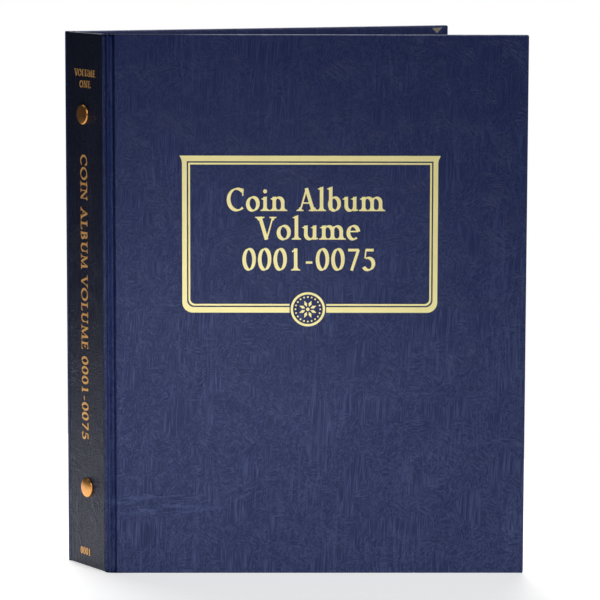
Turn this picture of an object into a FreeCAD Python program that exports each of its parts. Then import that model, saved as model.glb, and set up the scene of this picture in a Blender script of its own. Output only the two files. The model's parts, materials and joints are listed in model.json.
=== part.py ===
import FreeCAD, Part

import math
import os

from FreeCAD import Placement, Rotation, Vector

# A hard-bound coin album that stands upright and slightly open.
# Frame: the origin is the middle of the spine's foot, +Z is up, +X runs from the spine towards the
# fore edge of a squarely closed album, and the front cover is on the -Y side. Millimetres.

# ---- the case -----------------------------------------------------------------------------------
CASE_HEIGHT = 252.0  # foot to head of the covers and the spine
COVER_WIDTH = 190.5  # one cover, from its joint edge to its fore edge
BOARD = 2.2  # greyboard inside the covers and the spine
CLOTH = 0.45  # leatherette
PAPER = 0.3  # endpapers and spine lining
TURN_IN = 14.0  # leatherette folded over onto the inner side
PAPER_MARGIN = 4.0  # how far a paper stops short of the case's edge
EDGE_ROUND = 0.5  # rounding of the covered edges
SPINE_MARGIN = 6.8  # spine beyond the stack of pages, on each side
SPINE_TO_AXIS = 1.8  # from the spine's flat to the line that a cover turns about
AXIS_TO_COVER = 3.5  # from that line to the cover
JOINT_THICKNESS = 0.75  # leatherette and lining together in the flexible joint
RIDGE = (-0.3, 1.45)  # crest of the joint, along and out from the turning line
GROOVE = (1.55, 0.75)  # bottom of the joint's groove, measured the same way

# ---- how the album stands -----------------------------------------------------------------------
FRONT_ANGLE = 35.0  # front cover, turned out from square to the spine
BACK_ANGLE = 14.0  # back cover, leaning in past square, the same way round
COVER_TRAVEL_TO_FLAT = 145.0  # from there until the front cover points straight away from the pages

# ---- the pages ----------------------------------------------------------------------------------
PAGES = 3
ROWS = 5
WEB = 1.8  # the middle of a page, which holds the coins
CHANNEL = 0.6  # depth of a slide's channel on each face
FACE_SHEET = 0.5
PAGE_GAP = 1.6  # between two pages that lie flat on each other's hinges
PAGE_INSET = 8.0  # from the head and the foot of the case
PAGE_FORE_INSET = 6.5  # from the covers' fore edges
PAGE_START = 7.0  # from a page's hinge line to the stiff part of the page
PAGE_FOLLOW = (0.64, 0.43, 0.215)  # share of the front cover's turn that each page makes
STRIP_CLEARANCE = 1.45  # between the rolled rivets and the strips
STRIP_WIDTH = 9.5
STRIP_GAP = 0.2  # between two binding strips
STRIP_TO_AXIS = 5.0  # from a strip to the page's hinge line
STRIP_HOLE_PLAY = 0.3
HINGE_CLOTH = 0.5
COIN_RADIUS = 12.3  # a 24.3 mm coin and a little play
WINDOW_MARGIN = 0.6  # of the face sheets' windows around the coin openings
COLUMN_GAP = 5.0  # between two windows in a row
COLUMN_MARGIN = 5.0  # least distance from a window to the page's edges
ROW_MARGIN = 4.0  # at the head and the foot of a page
ROW_RISE = 3.0  # openings sit this far above the middle of their row, over a label
SLIDE = 0.3
SLIDE_LAP = 2.1  # of a slide above and below the windows
SLIDE_PLAY = 0.3  # above and below a slide
SLIDE_START = 12.0  # from the hinge line
SLIDE_REST = 1.0  # from the end of the channel to the slide
SLIDE_BACK = 0.5  # how far a slide stops short of the page's fore edge
THUMB_NOTCH = 4.0

# ---- the post binding ---------------------------------------------------------------------------
STEEL = 0.8
BRACKET_SHORT = 18.0  # how far the bracket stops short of the pages' head and foot
BRACKET_INSET = 4.2  # from the front edge of the spine to the bracket's base
BRACKET_OVERLAP = 0.35  # how far the flange reaches past the strips
BRACKET_CORNER = 3.0
POST_FROM_END = 25.0  # of the bracket
POST_IN_STRIP = 4.0  # from the strips' inner edge
POST_RADIUS = 2.0
POST_NECK = 1.3
POST_TAIL = 1.5
POST_TAIL_HEAD = 2.5
POST_TAIL_HEIGHT = 0.6
POST_HEAD_HEIGHT = 1.2
POST_CHAMFER = 0.4
BAR_WIDTH = 10.0
BAR_PAST_POST = 15.0
BAR_TRAVEL = 8.0
BAR_LIP = 3.2  # lip that a thumb pushes
BAR_LIP_WIDTH = 7.0
BAR_PLAY = 0.1  # on each side of the bar
NECK_PLAY = 0.15
HEAD_PLAY = 0.2
RIVET_FROM_END = 12.0  # of the bracket
RIVET_SHIFT = (-0.4, 1.4)  # lower and upper rivet, off the spine's middle
RIVET_HEAD = 4.65
RIVET_DOME = 1.3
RIVET_BRIM = 0.35
RIVET_SHANK = 1.6
RIVET_ROLL = 2.7
RIVET_ROLL_HEIGHT = 0.9
RIVET_EDGE = 0.3  # rounding of the rolled end
RIVET_PLAY = 0.05

# ---- what follows from these --------------------------------------------------------------------
HALF_COVER = BOARD / 2 + CLOTH
LINED = HALF_COVER + PAPER
CORE = WEB + 2 * CHANNEL
PAGE_PITCH = CORE + 2 * FACE_SHEET + PAGE_GAP  # from one page to the next on the posts
PAGE_ROOM = PAGES * PAGE_PITCH
STRIP = PAGE_PITCH - STRIP_GAP
FLANGE_Y = PAGE_ROOM / 2
STACK_Y = -PAGE_ROOM / 2
SPINE_WIDTH = PAGE_ROOM + 2 * SPINE_MARGIN
AXIS_Y = SPINE_WIDTH / 2 + SPINE_TO_AXIS
STRIP_START = LINED + STEEL + RIVET_ROLL_HEIGHT + STRIP_CLEARANCE
PAGE_AXIS = STRIP_START + STRIP_WIDTH + STRIP_TO_AXIS
PAGE_HEIGHT = CASE_HEIGHT - 2 * PAGE_INSET
PAGE_EDGE = AXIS_TO_COVER + COVER_WIDTH - PAGE_FORE_INSET - PAGE_AXIS  # from the hinge line
WINDOW_RADIUS = COIN_RADIUS + WINDOW_MARGIN
COLUMN_PITCH = 2 * WINDOW_RADIUS + COLUMN_GAP
COLUMNS = int((PAGE_EDGE - PAGE_START - 2 * COLUMN_MARGIN + COLUMN_GAP) / COLUMN_PITCH)
ROW_PITCH = (PAGE_HEIGHT - 2 * ROW_MARGIN) / ROWS
SLIDE_HEIGHT = 2 * (WINDOW_RADIUS + SLIDE_LAP)
BINDING_MIDDLE = CASE_HEIGHT / 2
BRACKET_LENGTH = PAGE_HEIGHT - 2 * BRACKET_SHORT
POST_SPACING = BRACKET_LENGTH - 2 * POST_FROM_END
RIVET_SPACING = BRACKET_LENGTH - 2 * RIVET_FROM_END
BAR_LENGTH = POST_SPACING + 2 * BAR_PAST_POST
POST_DEPTH = STRIP_START + POST_IN_STRIP
UP = Vector(0, 0, 1)
THROUGH = 30.0  # longer than any hole

made = {}


def save(name, *solids):
    """Keeps the solids of one named sub-part."""
    made[name] = list(solids)


def box(x, y, z):
    """A block between the two values of each of x, y and z."""
    low = [min(pair) for pair in (x, y, z)]
    size = [abs(pair[1] - pair[0]) for pair in (x, y, z)]
    return Part.makeBox(*size, Vector(*low))


def rod(radius, start, end):
    """A round bar between two points."""
    along = end - start
    return Part.makeCylinder(radius, along.Length, start, along)


def one(shape):
    """The single clean solid that a cut or a joining left."""
    return shape.removeSplitter().Solids[0]


def turned(shape, axis_y, angle, axis_x=0.0):
    """The shape turned clockwise, seen from above, about an upright line."""
    line = Vector(axis_x, axis_y, 0)
    shape = shape.copy()
    shape.Placement = Placement(Vector(), Rotation(UP, -angle), line).multiply(shape.Placement)
    return shape


def rounded(shape, radius, picks):
    """Rounds the edges that picks chooses."""
    edges = [e for e in shape.Edges if picks(e)]
    return shape.makeFillet(radius, edges)


# ---- covers -------------------------------------------------------------------------------------


def cover(side, angle):
    """Board, leatherette and endpaper of one cover. side is -1 for the front and 1 for the back."""
    start, end = AXIS_TO_COVER, AXIS_TO_COVER + COVER_WIDTH
    head = CASE_HEIGHT
    axis = side * AXIS_Y

    def across(a, b):
        return (axis + side * a, axis + side * b)

    board = box((start, end - CLOTH), across(-BOARD / 2, BOARD / 2), (CLOTH, head - CLOTH))
    skin = box((start, end), across(-HALF_COVER, HALF_COVER), (0, head))
    skin = rounded(skin, EDGE_ROUND, lambda e: is_outer_edge(e, axis, side, end))
    hollow = box((start - 1, end - CLOTH), across(-BOARD / 2, BOARD / 2), (CLOTH, head - CLOTH))
    window = box(
        (start - 1, end - TURN_IN), across(-HALF_COVER - 1, -BOARD / 2), (TURN_IN, head - TURN_IN)
    )
    cloth = one(skin.cut(hollow).cut(window))
    sheet = box(
        (start, end - PAPER_MARGIN), across(-LINED, -HALF_COVER), (PAPER_MARGIN, head - PAPER_MARGIN)
    )
    filling = box(
        (start, end - TURN_IN), across(-HALF_COVER, -BOARD / 2), (TURN_IN, head - TURN_IN)
    )
    endpaper = one(sheet.fuse(filling))
    return [turned(s, axis, angle) for s in (board, cloth, endpaper)]


def is_outer_edge(edge, axis, side, end):
    """True for the head, tail and fore edges on the outer face of a cover."""
    middle = edge.BoundBox.Center
    outer = abs(middle.y - (axis + side * HALF_COVER)) < 1e-6
    at_end = abs(middle.x - end) < 1e-6
    at_head_or_tail = min(abs(middle.z), abs(middle.z - CASE_HEIGHT)) < 1e-6
    return outer and (at_end or at_head_or_tail)


def joint_cloth(side, angle):
    """The flexible strip between the spine and a cover, with a crest and a groove."""
    turn = math.radians(-angle)
    axis = Vector(0, side * AXIS_Y, 0)
    along = Vector(math.cos(turn), math.sin(turn), 0)
    out = Vector(-math.sin(turn), math.cos(turn), 0) * side

    def place(u, v):
        return axis + along * u + out * v

    # outer line from the spine's edge over the crest and the groove to the cover
    outer = [
        Vector(-HALF_COVER, side * SPINE_WIDTH / 2, 0),
        place(*RIDGE),
        place(*GROOVE),
        place(AXIS_TO_COVER, HALF_COVER),
    ]
    inward = [Vector(1, 0, 0), -(out - along).normalize(), -out, -out]
    inner = [p + n * JOINT_THICKNESS for p, n in zip(outer, inward)]
    curves = []
    for points in (outer, inner):
        curve = Part.BSplineCurve()
        curve.interpolate(points)
        curves.append(curve.toShape())
    ends = [Part.makeLine(outer[0], inner[0]), Part.makeLine(outer[-1], inner[-1])]
    face = Part.Face(Part.Wire(Part.__sortEdges__(curves + ends)))
    return face.extrude(Vector(0, 0, CASE_HEIGHT))


def spine():
    """Board, leatherette and lining of the spine, with the rivets' holes."""
    half = SPINE_WIDTH / 2
    width = (-half, half)
    head = CASE_HEIGHT
    board = box((-BOARD / 2, BOARD / 2), width, (CLOTH, head - CLOTH))
    skin = box((-HALF_COVER, HALF_COVER), width, (0, head))
    window = box((BOARD / 2, HALF_COVER + 1), width, (TURN_IN, head - TURN_IN))
    cloth = skin.cut(board).cut(window)
    sheet = box((HALF_COVER, LINED), width, (PAPER_MARGIN, head - PAPER_MARGIN))
    filling = box((BOARD / 2, HALF_COVER), width, (TURN_IN, head - TURN_IN))
    lining = sheet.fuse(filling)
    for line in rivet_lines():
        hole = rod(RIVET_SHANK + RIVET_PLAY, line - Vector(THROUGH, 0, 0), line + Vector(THROUGH, 0, 0))
        board, cloth, lining = (s.cut(hole) for s in (board, cloth, lining))
    return [one(s) for s in (board, cloth, lining)]


# ---- binding ------------------------------------------------------------------------------------


def rivet_lines():
    """A point on each rivet's centre line, in the spine's middle plane."""
    return [
        Vector(0, shift, BINDING_MIDDLE + sign * RIVET_SPACING / 2)
        for sign, shift in zip((-1, 1), RIVET_SHIFT)
    ]


def post_lines():
    """A point on each post's centre line, level with the spine's middle."""
    return [
        Vector(POST_DEPTH, 0, BINDING_MIDDLE + sign * POST_SPACING / 2) for sign in (-1, 1)
    ]


def rivets():
    """Domed rivets that hold the bracket to the spine, each one turned piece."""
    solids = []
    inside = LINED + STEEL
    cap = (RIVET_HEAD**2 + RIVET_DOME**2) / (2 * RIVET_DOME)
    for line in rivet_lines():
        face = -HALF_COVER
        # half section: brim, dome, shank and rolled end, turned about the rivet's centre line
        rim = Vector(face - RIVET_BRIM, RIVET_HEAD, 0)
        top = Vector(face - RIVET_BRIM - RIVET_DOME, 0, 0)
        rise = math.asin(RIVET_HEAD / cap) / 2
        middle = Vector(top.x + cap * (1 - math.cos(rise)), cap * math.sin(rise), 0)
        corners = [
            rim,
            Vector(face, RIVET_HEAD, 0),
            Vector(face, RIVET_SHANK, 0),
            Vector(inside, RIVET_SHANK, 0),
            Vector(inside, RIVET_ROLL, 0),
            Vector(inside + RIVET_ROLL_HEIGHT, RIVET_ROLL, 0),
            Vector(inside + RIVET_ROLL_HEIGHT, 0, 0),
            top,
        ]
        edges = [Part.makeLine(a, b) for a, b in zip(corners, corners[1:])]
        edges.append(Part.Arc(top, middle, rim).toShape())
        section = Part.Face(Part.Wire(edges))
        solid = section.revolve(Vector(), Vector(1, 0, 0), 360)
        end = inside + RIVET_ROLL_HEIGHT
        solid = rounded(solid, RIVET_EDGE, lambda e: abs(e.BoundBox.XMax - end) < 1e-6)
        solid.translate(line)
        solids.append(solid)
    return solids


def bracket():
    """The riveted steel angle that carries the posts."""
    height = (BINDING_MIDDLE - BRACKET_LENGTH / 2, BINDING_MIDDLE + BRACKET_LENGTH / 2)
    edge = BRACKET_INSET - SPINE_WIDTH / 2
    end = STRIP_START + STRIP_WIDTH + BRACKET_OVERLAP
    base = box((LINED, LINED + STEEL), (edge, FLANGE_Y + STEEL), height)
    flange = box((LINED, end), (FLANGE_Y, FLANGE_Y + STEEL), height)
    # the corners at the free edges, which are the sheet's only short edges there
    base = rounded(
        base,
        BRACKET_CORNER,
        lambda e: e.BoundBox.YMax < edge + 1e-6 and e.Length < 2 * STEEL,
    )
    flange = rounded(
        flange,
        BRACKET_CORNER,
        lambda e: e.BoundBox.XMin > end - 1e-6 and e.Length < 2 * STEEL,
    )
    shape = base.fuse(flange)
    for line in rivet_lines():
        shape = shape.cut(rod(RIVET_SHANK + RIVET_PLAY, line, line + Vector(THROUGH, 0, 0)))
    for line in post_lines():
        shape = shape.cut(rod(POST_TAIL, line, line + Vector(0, THROUGH, 0)))
    return one(shape)


def posts():
    """Two posts, each with a necked head in front and a tail riveted through the flange."""
    bar_back = STACK_Y - BAR_PLAY
    bar_front = bar_back - STEEL
    neck_end = bar_front - BAR_PLAY
    solids = []
    for line in post_lines():

        def at(y):
            return line + Vector(0, y, 0)

        body = rod(POST_RADIUS, at(STACK_Y), at(FLANGE_Y))
        neck = rod(POST_NECK, at(neck_end), at(STACK_Y))
        head = rod(POST_RADIUS, at(neck_end - POST_HEAD_HEIGHT), at(neck_end))
        head = head.makeChamfer(
            POST_CHAMFER, [e for e in head.Edges if abs(e.BoundBox.YMax - neck_end + POST_HEAD_HEIGHT) < 1e-6]
        )
        tail = rod(POST_TAIL, at(FLANGE_Y), at(FLANGE_Y + STEEL))
        rivet = rod(
            POST_TAIL_HEAD, at(FLANGE_Y + STEEL), at(FLANGE_Y + STEEL + POST_TAIL_HEIGHT)
        )
        solids.append(one(body.multiFuse([neck, head, tail, rivet])))
    return solids


def lock_bar():
    """The bar that slides on the posts' necks, with a keyhole at each post and a thumb lip."""
    back = STACK_Y - BAR_PLAY
    front = back - STEEL
    width = (POST_DEPTH - BAR_WIDTH / 2, POST_DEPTH + BAR_WIDTH / 2)
    # the bar stands a little low while it is locked, so that it is level with the strips when free
    middle = BINDING_MIDDLE - BAR_TRAVEL / 2
    foot, top = middle - BAR_LENGTH / 2, middle + BAR_LENGTH / 2
    bar = box(width, (front, back), (foot, top))
    bar = rounded(
        bar, BRACKET_CORNER, lambda e: e.BoundBox.YLength > 0.1 and e.BoundBox.ZMin > top - 1e-6
    )
    lip = (width[0], width[0] + BAR_LIP_WIDTH)
    bar = bar.fuse(box(lip, (front - BAR_LIP, front), (foot, foot + STEEL)))
    for line in post_lines():
        large = line + Vector(0, 0, -BAR_TRAVEL)
        through = Vector(0, -THROUGH, 0)
        bar = bar.cut(rod(POST_RADIUS + HEAD_PLAY, large, large + through))
        bar = bar.cut(rod(POST_NECK + NECK_PLAY, line, line + through))
        narrow = POST_NECK + NECK_PLAY
        bar = bar.cut(box((line.x - narrow, line.x + narrow), (0, -THROUGH), (large.z, line.z)))
    return one(bar)


# ---- pages --------------------------------------------------------------------------------------


def page_level(number):
    """How far page 1, 2 or 3 hangs from the spine's middle. Page 1 is next to the front cover."""
    return (number - (PAGES + 1) / 2) * PAGE_PITCH


def page_angle(number):
    """Angle of a page as the album stands, between those of the two covers."""
    return BACK_ANGLE + (FRONT_ANGLE - BACK_ANGLE) * PAGE_FOLLOW[number - 1]


def row_height(row):
    """Height of the middle of a row of openings. Row 1 is at the top."""
    return CASE_HEIGHT / 2 + ROW_RISE + ((ROWS + 1) / 2 - row) * ROW_PITCH


def column_place(column):
    """Distance of an opening's centre from the page's hinge line."""
    middle = (PAGE_START + PAGE_EDGE) / 2
    return PAGE_AXIS + middle + (column - (COLUMNS + 1) / 2) * COLUMN_PITCH


def holes(radius, level):
    """One cylinder for each opening of a page."""
    return [
        rod(
            radius,
            Vector(column_place(c), level - THROUGH, row_height(r)),
            Vector(column_place(c), level + THROUGH, row_height(r)),
        )
        for r in range(1, ROWS + 1)
        for c in range(1, COLUMNS + 1)
    ]


def page_core(level):
    """The middle board of a page: coin openings, and a channel for each slide on both faces."""
    along = (PAGE_AXIS + PAGE_START, PAGE_AXIS + PAGE_EDGE)
    core = box(along, (level - CORE / 2, level + CORE / 2), (PAGE_INSET, PAGE_INSET + PAGE_HEIGHT))
    channels = []
    half = SLIDE_HEIGHT / 2 + SLIDE_PLAY
    for row in range(1, ROWS + 1):
        z = row_height(row)
        for side in (-1, 1):
            channels.append(
                box(
                    (PAGE_AXIS + SLIDE_START - SLIDE_REST, PAGE_AXIS + PAGE_EDGE + 1),
                    (level + side * WEB / 2, level + side * (CORE / 2 + 1)),
                    (z - half, z + half),
                )
            )
    return one(core.cut(channels + holes(COIN_RADIUS, level)))


def face_sheet(level, side):
    """The printed outer sheet of a page, with round windows and a thumb notch at each slide."""
    inner, outer = level + side * CORE / 2, level + side * (CORE / 2 + FACE_SHEET)
    edge = PAGE_AXIS + PAGE_EDGE
    sheet = box((PAGE_AXIS + PAGE_START, edge), (inner, outer), (PAGE_INSET, PAGE_INSET + PAGE_HEIGHT))
    notches = [
        rod(
            THUMB_NOTCH,
            Vector(edge, level - THROUGH, row_height(r)),
            Vector(edge, level + THROUGH, row_height(r)),
        )
        for r in range(1, ROWS + 1)
    ]
    return one(sheet.cut(holes(WINDOW_RADIUS, level) + notches))


def slide(level, side, row):
    """One clear slide, lying in the middle of its channel."""
    middle = level + side * (WEB + CHANNEL) / 2
    z = row_height(row)
    return box(
        (PAGE_AXIS + SLIDE_START, PAGE_AXIS + PAGE_EDGE - SLIDE_BACK),
        (middle - SLIDE / 2, middle + SLIDE / 2),
        (z - SLIDE_HEIGHT / 2, z + SLIDE_HEIGHT / 2),
    )


def binding_strip(level):
    """The stiff strip of a page that the posts pass through."""
    strip = box(
        (STRIP_START, STRIP_START + STRIP_WIDTH),
        (level - STRIP / 2, level + STRIP / 2),
        (PAGE_INSET, PAGE_INSET + PAGE_HEIGHT),
    )
    for line in post_lines():
        strip = strip.cut(
            rod(POST_RADIUS + STRIP_HOLE_PLAY, line - Vector(0, THROUGH, 0), line + Vector(0, THROUGH, 0))
        )
    return one(strip)


def page_hinge(level, angle):
    """The cloth that joins a page to its strip, bent at the hinge line."""
    height = (PAGE_INSET, PAGE_INSET + PAGE_HEIGHT)
    thick = (level - HINGE_CLOTH / 2, level + HINGE_CLOTH / 2)
    fixed = box((STRIP_START + STRIP_WIDTH, PAGE_AXIS), thick, height)
    moving = turned(box((PAGE_AXIS, PAGE_AXIS + PAGE_START), thick, height), level, angle, PAGE_AXIS)
    bend = rod(
        HINGE_CLOTH / 2, Vector(PAGE_AXIS, level, height[0]), Vector(PAGE_AXIS, level, height[1])
    )
    return one(fixed.multiFuse([moving, bend]))


def page(number):
    """Every piece of one page, where it stands."""
    level, angle = page_level(number), page_angle(number)
    name = f"page_{number}"

    def at_rest(shape):
        return turned(shape, level, angle, PAGE_AXIS)

    save(f"{name}_core", at_rest(page_core(level)))
    save(f"{name}_front_sheet", at_rest(face_sheet(level, -1)))
    save(f"{name}_back_sheet", at_rest(face_sheet(level, 1)))
    save(f"{name}_binding_strip", binding_strip(level))
    save(f"{name}_hinge_cloth", page_hinge(level, angle))
    for row in range(1, ROWS + 1):
        save(f"{name}_front_slide_{row}", at_rest(slide(level, -1, row)))
        save(f"{name}_back_slide_{row}", at_rest(slide(level, 1, row)))


def main():
    for name, part in zip(("spine_board", "spine_cloth", "spine_lining"), spine()):
        save(name, part)
    for name, side, angle in (("front", -1, FRONT_ANGLE), ("back", 1, BACK_ANGLE)):
        for piece, part in zip(("cover_board", "cover_cloth", "endpaper"), cover(side, angle)):
            save(f"{name}_{piece}", part)
        save(f"{name}_joint_cloth", joint_cloth(side, angle))
    save("spine_rivets", *rivets())
    save("post_bracket", bracket())
    save("binding_posts", *posts())
    save("lock_bar", lock_bar())
    for number in range(1, PAGES + 1):
        page(number)
    os.makedirs("parts", exist_ok=True)
    for name, solids in made.items():
        shape = solids[0] if len(solids) == 1 else Part.makeCompound(solids)
        shape.exportStep(f"parts/{name}.step")
    print(len(made), "nodes")


main()
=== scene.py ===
# %% [markdown]
# # A coin album in stamped book cloth
#
# The album is a hard case: two covers and a spine of grey board, wrapped in navy leatherette and
# stamped in gold. Inside, three board pages hang on two posts, and clear slides close their coin
# openings. This lesson loads the designed parts as a fixed frame and builds the finished surfaces
# around them: first the cloth, then the foil, the metal and the pages, and at the end the studio.

# %% Load the fixed frame
import json
import math

import bmesh
import bpy
from mathutils import Matrix, Vector
from mathutils.geometry import delaunay_2d_cdt


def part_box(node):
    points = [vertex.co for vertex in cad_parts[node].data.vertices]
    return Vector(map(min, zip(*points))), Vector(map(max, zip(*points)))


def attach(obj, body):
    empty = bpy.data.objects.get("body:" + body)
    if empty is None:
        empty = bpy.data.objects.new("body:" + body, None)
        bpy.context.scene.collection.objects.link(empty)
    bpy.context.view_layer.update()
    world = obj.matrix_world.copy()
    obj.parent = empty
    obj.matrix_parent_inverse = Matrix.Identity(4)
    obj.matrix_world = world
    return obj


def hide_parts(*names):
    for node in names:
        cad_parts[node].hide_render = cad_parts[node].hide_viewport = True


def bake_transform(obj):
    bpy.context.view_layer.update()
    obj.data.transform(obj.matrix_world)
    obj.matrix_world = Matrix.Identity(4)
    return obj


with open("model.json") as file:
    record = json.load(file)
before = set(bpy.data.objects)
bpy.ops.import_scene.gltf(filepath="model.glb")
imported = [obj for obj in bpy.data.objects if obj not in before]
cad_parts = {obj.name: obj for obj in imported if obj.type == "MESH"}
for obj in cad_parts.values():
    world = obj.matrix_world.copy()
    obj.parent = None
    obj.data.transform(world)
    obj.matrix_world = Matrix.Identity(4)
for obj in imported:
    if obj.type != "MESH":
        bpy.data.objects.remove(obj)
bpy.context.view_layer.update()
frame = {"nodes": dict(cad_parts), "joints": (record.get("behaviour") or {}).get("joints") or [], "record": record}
nodes = frame["nodes"]
joints = {joint["name"]: joint for joint in frame["joints"]}
MM = 0.001

# %% [markdown]
# ## Small tools
#
# Everything is drawn in millimetres in a piece's own plane and then placed. A place is an origin
# and three directions: right, up and out of the surface. One function turns a hex colour to the
# linear values that a shader works in, and one adds a node with its settings and links.


# %% Places, colours and nodes
def place(origin, right, up, out):
    """The matrix that takes millimetres in a piece's own plane to metres in the frame."""
    turn = Matrix((right, up, out)).transposed().to_4x4()
    return Matrix.Translation(origin) @ turn @ Matrix.Scale(MM, 4)


def colour(text):
    """Linear red, green, blue and alpha of an sRGB hex colour."""
    values = [int(text[i : i + 2], 16) / 255 for i in (1, 3, 5)]
    return (*[v / 12.92 if v <= 0.04045 else ((v + 0.055) / 1.055) ** 2.4 for v in values], 1.0)


def node(tree, kind, inputs=None, **settings):
    """Adds a node to a shader or geometry tree. An input takes a value or another node's output."""
    made = tree.nodes.new(kind)
    for name, value in settings.items():
        setattr(made, name, value)
    for socket, value in (inputs or {}).items():
        if isinstance(value, bpy.types.NodeSocket):
            tree.links.new(value, made.inputs[socket])
        else:
            made.inputs[socket].default_value = value
    return made


print("navy in linear values:", [round(v, 4) for v in colour("#0e1e52")[:3]])


# %% Meshes
def link(name, data):
    """A new object in the scene."""
    made = bpy.data.objects.new(name, data)
    bpy.context.scene.collection.objects.link(made)
    return made


def piece(name, points, faces, material=None, smooth=True):
    """A new mesh object from points in metres, with its faces turned outwards."""
    mesh = bpy.data.meshes.new(name)
    mesh.from_pydata(points, [], faces)
    work = bmesh.new()
    work.from_mesh(mesh)
    bmesh.ops.recalc_face_normals(work, faces=work.faces)
    work.to_mesh(mesh)
    work.free()
    mesh.polygons.foreach_set("use_smooth", [smooth] * len(mesh.polygons))
    if material:
        mesh.materials.append(material)
    return link(name, mesh)


def grid(rows, count, closed=True, first=0):
    """Quads between rows of points. A closed row joins its last point to its first."""
    return [
        (row + i, row + (i + 1) % count, row + count + (i + 1) % count, row + count + i)
        for row in (first + j * count for j in range(rows - 1))
        for i in range(count if closed else count - 1)
    ]


def circle(radius, count, turn=0.0):
    """Points round a circle, in a plane."""
    angles = [math.tau * (i + turn) / count for i in range(count)]
    return [Vector((math.cos(a), math.sin(a))) * radius for a in angles]


def bake(made):
    """Turns an object's modifiers into a plain mesh."""
    graph = bpy.context.evaluated_depsgraph_get()
    mesh = bpy.data.meshes.new_from_object(made.evaluated_get(graph))
    made.modifiers.clear()
    old = made.data
    made.data = mesh
    bpy.data.meshes.remove(old)
    return made


def run_tree(made, tree, given):
    """Runs a geometry tree on an object with inputs given by name, and keeps its mesh."""
    modifier = made.modifiers.new(tree.name, "NODES")
    modifier.node_group = tree
    for item in tree.interface.items_tree:
        if item.in_out == "INPUT" and item.name in given:
            modifier[item.identifier] = given[item.name]
    return bake(made)


def triangles(made):
    """How many triangles a piece has."""
    return sum(len(face.vertices) - 2 for face in made.data.polygons)


print("mesh tools: piece, grid, circle and bake")

# %% [markdown]
# ## Where the covers and the pages lie
#
# The album stands open, so no cover is square to the frame. A cover's direction is read from its
# board, which is symmetric about the plane through its hinge line. The direction out of its outer
# face is square to that and to the vertical.

# %% Directions of the covers
UP = Vector((0, 0, 1))
CASE_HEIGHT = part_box("spine_cloth")[1].z / MM
SPINE_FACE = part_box("spine_cloth")[0].x / MM
SPINE_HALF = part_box("spine_cloth")[1].y / MM


class Leaf:
    """A cover or a page: its hinge line, its direction and the direction out of one face."""

    def __init__(self, hinge, centre, side):
        self.hinge = Vector(joints[hinge]["pos_m"])
        self.along = (centre - self.hinge).to_2d().to_3d().normalized()
        self.out = self.along.cross(UP) * side

    def local(self, point):
        """A point of the frame, in millimetres along the leaf and out of it."""
        step = (Vector(point) - self.hinge) / MM
        return step.dot(self.along), step.dot(self.out)

    def world(self, u, t, z):
        """A point of the leaf, in metres in the frame."""
        return self.hinge + (self.along * u + self.out * t) * MM + UP * (z * MM)

    def span(self, name):
        """Lowest and highest place of a part along the leaf and out of it."""
        spots = [self.local(v.co) for v in nodes[name].data.vertices]
        return [(min(values), max(values)) for values in zip(*spots)]


def middle_of(name):
    """The middle of a part's corners."""
    corners = [v.co for v in nodes[name].data.vertices]
    return sum(corners, Vector()) / len(corners)


leaves = {
    "front": Leaf("front_hinge", middle_of("front_cover_board"), 1),
    "back": Leaf("back_hinge", middle_of("back_cover_board"), -1),
}
for name, leaf in leaves.items():
    print(name, "cover at", round(math.degrees(math.atan2(-leaf.along.y, leaf.along.x)), 2), "degrees")

# %% [markdown]
# ## Leatherette
#
# Book cloth of this kind is paper coated with a soft vinyl and embossed between rollers with a
# crushed-leather grain. Two scales show: a fine grain that runs up and down, under a millimetre
# wide, and long soft creases, mostly upright and with a few across them near the foot. The long
# creases are real relief, made by Geometry Nodes on a fine mesh. The fine grain is bump in the
# material. Both read the cloth's own millimetres, which are kept on the mesh as an attribute, so
# the grain follows the cloth round the joint and the edges.


# %% Crease lines, shared by the relief and the material
def crease_lines(tree, cloth, size, width, shift, detail=2.5):
    """Lines where a stretched noise crosses its middle value: 1 on a line and 0 away from it."""
    scale = node(
        tree,
        "ShaderNodeVectorMath",
        {0: cloth, 1: (1 / size[0], 1 / size[1], 1.0), 2: (shift, 0.0, shift)},
        operation="MULTIPLY_ADD",
    )
    inputs = {"Vector": scale.outputs[0], "Scale": 1.0, "Detail": detail, "Roughness": 0.55}
    wave = node(tree, "ShaderNodeTexNoise", {**inputs, "Distortion": 0.7})
    off = node(tree, "ShaderNodeMath", {0: wave.outputs[0], 1: 0.5}, operation="SUBTRACT")
    away = node(tree, "ShaderNodeMath", {0: off.outputs[0]}, operation="ABSOLUTE")
    inputs = {"Value": away.outputs[0], 1: 0.0, 2: width, 3: 1.0, 4: 0.0}
    return node(
        tree, "ShaderNodeMapRange", inputs, interpolation_type="SMOOTHSTEP"
    ).outputs[0]


def patches(tree, cloth, size, low, high, shift):
    """Soft patches of cloth, 0 to 1, where creases gather."""
    scale = node(
        tree,
        "ShaderNodeVectorMath",
        {0: cloth, 1: (1 / size, 1 / size, 1.0), 2: (shift, 0.0, shift)},
        operation="MULTIPLY_ADD",
    )
    inputs = {"Vector": scale.outputs[0], "Scale": 1.0, "Detail": 1.0}
    cloud = node(tree, "ShaderNodeTexNoise", inputs)
    inputs = {"Value": cloud.outputs[0], 1: low, 2: high, 3: 0.0, 4: 1.0}
    return node(
        tree, "ShaderNodeMapRange", inputs, interpolation_type="SMOOTHSTEP"
    ).outputs[0]


def times(tree, *values, operation="MULTIPLY"):
    """The product of several values of a tree, or another operation over them in turn."""
    result = values[0]
    for value in values[1:]:
        result = node(tree, "ShaderNodeMath", {0: result, 1: value}, operation=operation).outputs[0]
    return result


def highest(tree, *values):
    """The largest of several values of a tree."""
    return times(tree, *values, operation="MAXIMUM")


print("crease tools: lines, patches, products and the highest of several")


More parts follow.
